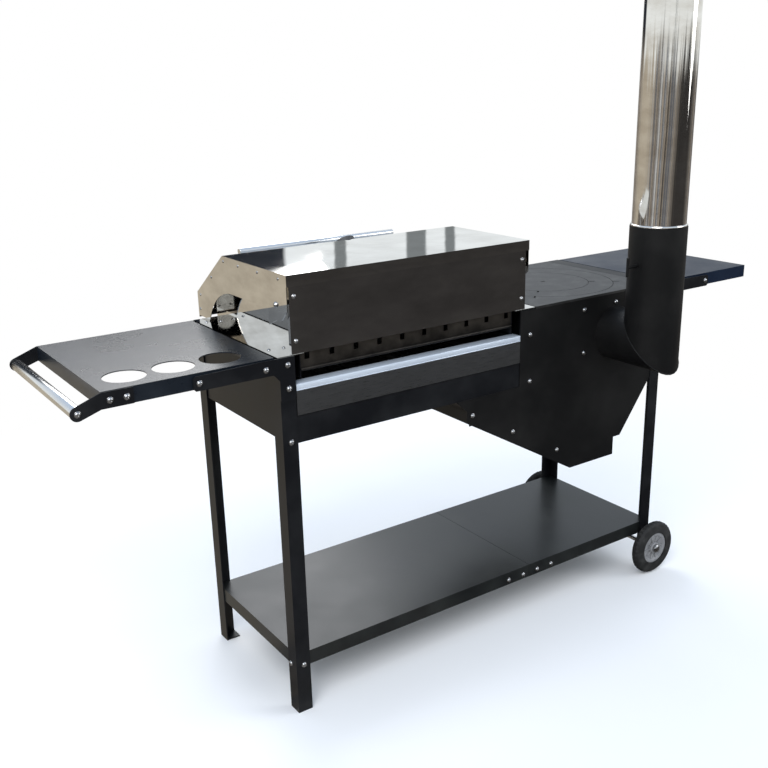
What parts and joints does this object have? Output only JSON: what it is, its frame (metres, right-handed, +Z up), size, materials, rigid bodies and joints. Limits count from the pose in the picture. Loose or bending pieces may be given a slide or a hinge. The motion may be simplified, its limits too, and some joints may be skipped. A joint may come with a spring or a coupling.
{
  "type": "wheeled charcoal barbecue cart with wood stove",
  "caption": "Wheeled charcoal barbecue cart with a polished hood, wood stove with hob, tall chimney, shelf and fold-down side tables.",
  "frame": {"origin": "on the floor, under the middle of the cart's outer box at rest", "axes": "+X from the push handle to the wheels, +Y to the cook's side (away from the chimney), +Z up"},
  "size_m": [1.963, 0.6575, 1.995],
  "materials": {
    "black_coat": "gloss",
    "hot_black": "satin",
    "polished_steel": "polished",
    "brushed_steel": "satin",
    "zinc": "satin",
    "cast_iron": "matte",
    "tyre": "matte",
    "hub": "satin"
  },
  "bodies": {
    "frame": {"leg_rear_left": "black_coat", "leg_front_left": "black_coat", "leg_rear_right": "black_coat", "leg_front_right": "black_coat", "shelf_left": "black_coat", "shelf_right": "black_coat", "shelf_joiners": "black_coat", "axle": "zinc", "axle_caps": "zinc", "brazier_rear_wall": "black_coat", "brazier_front_wall": "black_coat", "brazier_floor": "black_coat", "brazier_end_left": "black_coat", "brazier_end_right": "black_coat", "liner_rear": "brushed_steel", "liner_front": "brushed_steel", "wing_left": "polished_steel", "wing_right": "polished_steel", "hood_rear_panel": "polished_steel", "hood_screws": "zinc", "lid_pivots": "zinc", "stove_rear_wall": "black_coat", "stove_front_wall": "black_coat", "stove_right_side": "black_coat", "hopper_left": "black_coat", "stove_edge_strip": "black_coat", "fire_grate": "cast_iron", "hob_plate": "hot_black", "flue_elbow": "hot_black", "arm_rear_left": "black_coat", "arm_front_left": "black_coat", "arm_rear_right": "black_coat", "arm_front_right": "black_coat", "frame_bolts": "zinc"},
    "wheel_rear": {"tyre_rear": "tyre", "hub_rear": "hub"},
    "wheel_front": {"tyre_front": "tyre", "hub_front": "hub"},
    "lid": {"lid_skin": "polished_steel", "lid_end_left": "polished_steel", "lid_end_right": "polished_steel", "lid_handle": "polished_steel", "lid_thermometer": "zinc"},
    "left_table": {"left_table_top": "black_coat", "handle_brackets": "black_coat", "handle_bolts": "zinc", "push_handle": "polished_steel"},
    "right_table": {"right_table_top": "black_coat", "hook_rail": "zinc"},
    "drawer": {"charcoal_drawer": "brushed_steel", "charcoal_grate": "cast_iron"},
    "grate_left": {"cooking_grate_left": "brushed_steel"},
    "grate_right": {"cooking_grate_right": "brushed_steel"},
    "ring": {"hob_ring": "hot_black"},
    "disc": {"hob_disc": "hot_black"},
    "door": {"stove_door": "hot_black"},
    "ash": {"ash_drawer": "hot_black"},
    "damper": {"damper_spindle": "zinc", "damper_flap": "cast_iron"},
    "chimney": {"chimney_pipe": "polished_steel"}
  },
  "joints": [
    {"name": "wheel_rear_spin", "type": "hinge", "parent": "frame", "child": "wheel_rear", "pos_m": [0.6005, -0.16575, 0.078], "axis": [0, 1, 0], "continuous": true},
    {"name": "wheel_front_spin", "type": "hinge", "parent": "frame", "child": "wheel_front", "pos_m": [0.6005, 0.30625, 0.078], "axis": [0, 1, 0], "continuous": true},
    {"name": "lid_hinge", "type": "hinge", "parent": "frame", "child": "lid", "pos_m": [-0.2065, -0.09175, 0.948], "axis": [1, 0, 0], "range_deg": [0, 80]},
    {"name": "left_table_fold", "type": "hinge", "parent": "frame", "child": "left_table", "pos_m": [-0.5865, 0.07025, 0.829], "axis": [0, -1, 0], "range_deg": [0, 90]},
    {"name": "right_table_fold", "type": "hinge", "parent": "frame", "child": "right_table", "pos_m": [0.6445, 0.07025, 0.829], "axis": [0, 1, 0], "range_deg": [0, 90]},
    {"name": "coal_drawer_slide", "type": "slide", "parent": "frame", "child": "drawer", "axis": [0, -1, 0], "range_m": [0, 0.3]},
    {"name": "grate_left_lift", "type": "slide", "parent": "frame", "child": "grate_left", "axis": [0, 0, 1], "range_m": [0, 0.06]},
    {"name": "grate_right_lift", "type": "slide", "parent": "frame", "child": "grate_right", "axis": [0, 0, 1], "range_m": [0, 0.06]},
    {"name": "hob_ring_lift", "type": "slide", "parent": "frame", "child": "ring", "axis": [0, 0, 1], "range_m": [0, 0.06]},
    {"name": "hob_disc_lift", "type": "slide", "parent": "ring", "child": "disc", "axis": [0, 0, 1], "range_m": [0, 0.06]},
    {"name": "stove_door_hinge", "type": "hinge", "parent": "frame", "child": "door", "pos_m": [0.5095, 0.28225, 0.66], "axis": [0, 0, -1], "range_deg": [0, 100]},
    {"name": "ash_drawer_slide", "type": "slide", "parent": "frame", "child": "ash", "axis": [0, 1, 0], "range_m": [0, 0.25]},
    {"name": "damper_turn", "type": "hinge", "parent": "frame", "child": "damper", "pos_m": [0.4275, -0.25975, 0.941], "axis": [1, 0, 0], "range_deg": [0, 90]},
    {"name": "chimney_lift", "type": "slide", "parent": "frame", "child": "chimney", "axis": [0, 0, 1], "range_m": [0, 0.05]}
  ]
}
